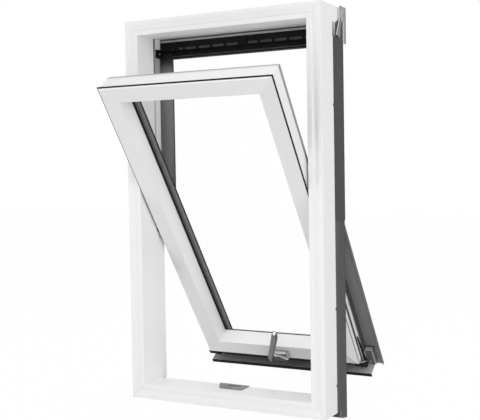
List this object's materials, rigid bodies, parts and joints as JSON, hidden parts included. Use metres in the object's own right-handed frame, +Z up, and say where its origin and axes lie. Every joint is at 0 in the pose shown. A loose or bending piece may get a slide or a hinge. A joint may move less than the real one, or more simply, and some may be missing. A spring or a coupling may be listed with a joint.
{
  "type": "centre-pivot roof window",
  "caption": "White roof window with a glazed sash tilted open on side hinges, grey outside cladding, a vent strip under the head and a handle on the bottom rail.",
  "frame": {"origin": "middle of the right bracket's flat outer face, between its two round holes", "axes": "+X out of the right bracket's face, across the window; +Y from the room to the outside; +Z up, along the jambs"},
  "size_m": [0.67, 0.7341, 1.218],
  "materials": {
    "white_pvc": "satin",
    "black_rubber": "matt",
    "glass": "clear",
    "dark_spacer": "matt",
    "black_plastic": "matt",
    "light_grey_aluminium": "satin",
    "galvanised_steel": "satin",
    "grey_plastic": "matt",
    "silver_metal": "satin",
    "grey_aluminium": "satin"
  },
  "bodies": {
    "root": {"bottom_edge_seal": "black_plastic", "frame_gasket": "black_rubber", "frame_head": "white_pvc", "frame_left_jamb": "white_pvc", "frame_right_jamb": "white_pvc", "frame_sill": "white_pvc", "glass_spacer": "dark_spacer", "glazing_gasket": "black_rubber", "handle_base": "silver_metal", "handle_lever": "silver_metal", "head_cladding": "grey_aluminium", "inner_pane": "glass", "left_bracket": "galvanised_steel", "left_corner_cap": "grey_plastic", "left_hinge_arm": "galvanised_steel", "left_hinge_housing": "galvanised_steel", "left_side_wing": "grey_aluminium", "left_vent_block": "black_plastic", "lower_left_cladding": "grey_aluminium", "lower_right_cladding": "grey_aluminium", "outer_pane": "glass", "right_bracket": "galvanised_steel", "right_corner_cap": "grey_plastic", "right_hinge_arm": "galvanised_steel", "right_hinge_housing": "galvanised_steel", "right_side_wing": "grey_aluminium", "right_vent_block": "black_plastic", "sash_bottom_cover": "grey_aluminium", "sash_bottom_rail": "white_pvc", "sash_bottom_seal": "black_plastic", "sash_left_cover": "grey_aluminium", "sash_left_stile": "white_pvc", "sash_right_cover": "grey_aluminium", "sash_right_stile": "white_pvc", "sash_rim": "light_grey_aluminium", "sash_seal": "black_rubber", "sash_top_cover": "grey_aluminium", "sash_top_rail": "white_pvc", "sill_cladding": "grey_aluminium", "striker_plate": "silver_metal", "upper_left_cladding": "grey_aluminium", "upper_right_cladding": "grey_aluminium", "vent_carrier": "light_grey_aluminium", "vent_flap": "black_plastic", "vent_strip": "black_plastic"}
  },
  "joints": []
}
